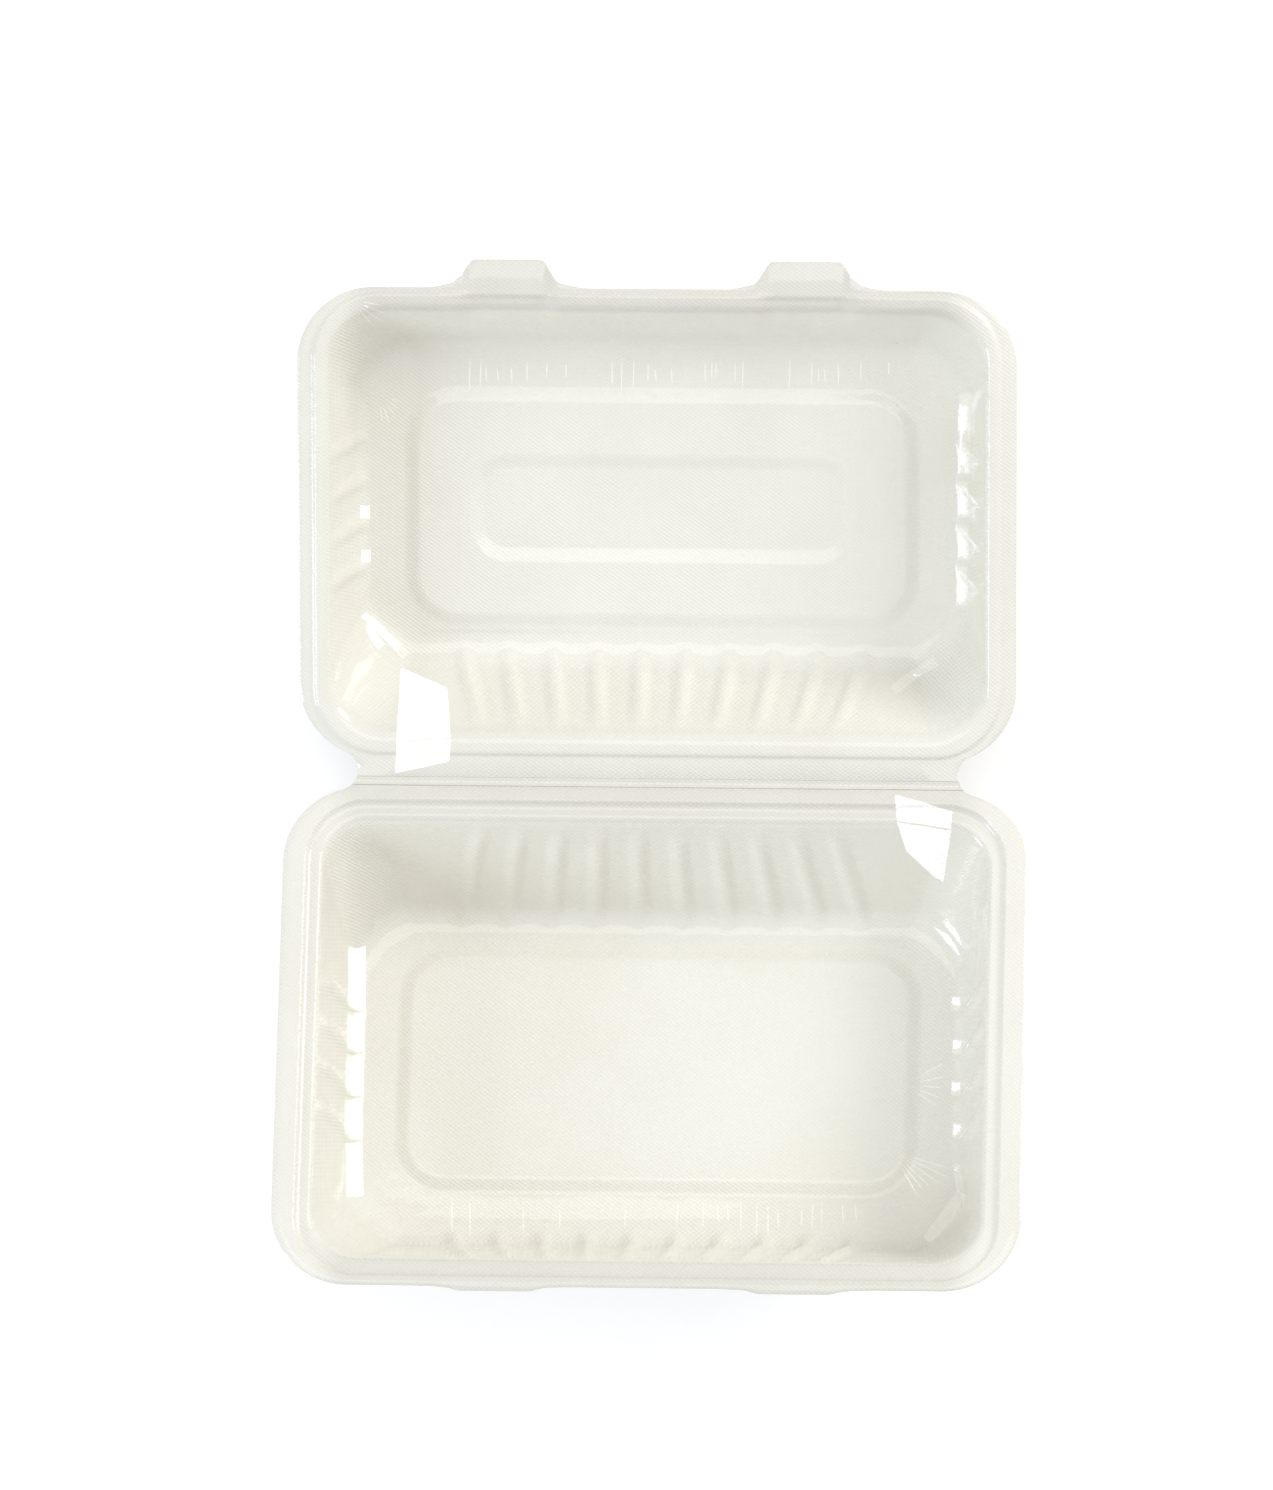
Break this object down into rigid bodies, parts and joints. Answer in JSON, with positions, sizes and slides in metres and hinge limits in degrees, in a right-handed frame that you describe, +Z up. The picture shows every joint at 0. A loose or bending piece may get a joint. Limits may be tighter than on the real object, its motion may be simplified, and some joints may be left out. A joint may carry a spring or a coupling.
{
  "type": "clamshell container",
  "caption": "Hinged takeaway box of pressed plant fibre: a rectangular tray and a lid with two locking tabs, film-lined inside, lying open.",
  "frame": {"origin": "on the table, at the middle of the open box's footprint", "axes": "+X along the fold, +Y from the tray towards the lid, +Z up"},
  "size_m": [0.232, 0.3142, 0.0953],
  "materials": {
    "tray_fibre": "off-white pressed fibre with a fine mesh mark, lined with clear glossy film",
    "lid_fibre": "off-white pressed fibre with a fine mesh mark, lined with clear glossy film"
  },
  "bodies": {
    "tray": {"base_tray": "tray_fibre"},
    "lid": {"lid": "lid_fibre"}
  },
  "joints": [
    {"name": "lid_hinge", "type": "hinge", "parent": "tray", "child": "lid", "pos_m": [0, -0.00705, 0.02825], "axis": [1, 0, 0], "range_deg": [-28, 152]}
  ]
}
